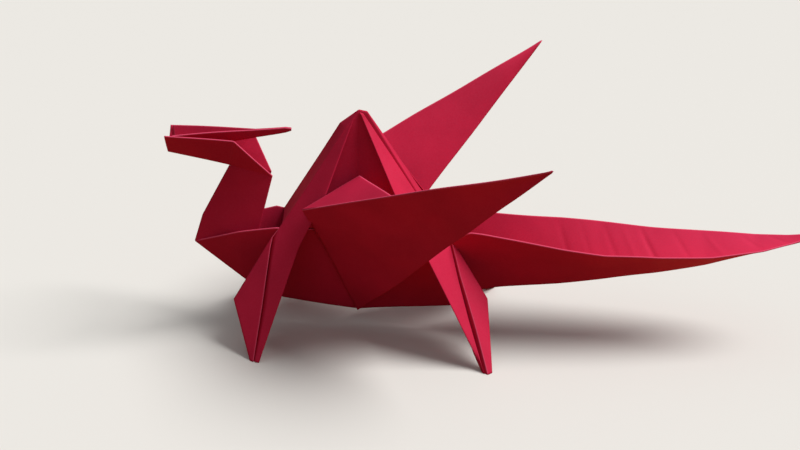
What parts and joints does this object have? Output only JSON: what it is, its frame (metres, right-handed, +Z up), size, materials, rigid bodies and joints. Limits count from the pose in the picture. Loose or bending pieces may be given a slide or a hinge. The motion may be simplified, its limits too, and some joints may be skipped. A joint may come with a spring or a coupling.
{
  "type": "folded paper dragon",
  "caption": "Dragon folded from one square of red paper: tented back, spread wings, pointed legs, horned head on a bent neck and a long open tail.",
  "frame": {"origin": "on the ground, below the middle of the bounding box", "axes": "+X towards the tip of the tail, +Z up, the near wing on -Y and the far wing on +Y"},
  "size_m": [0.1517, 0.093, 0.0596],
  "materials": {
    "paper": "matte"
  },
  "bodies": {
    "root": {"folded_sheet": "paper"}
  },
  "joints": []
}
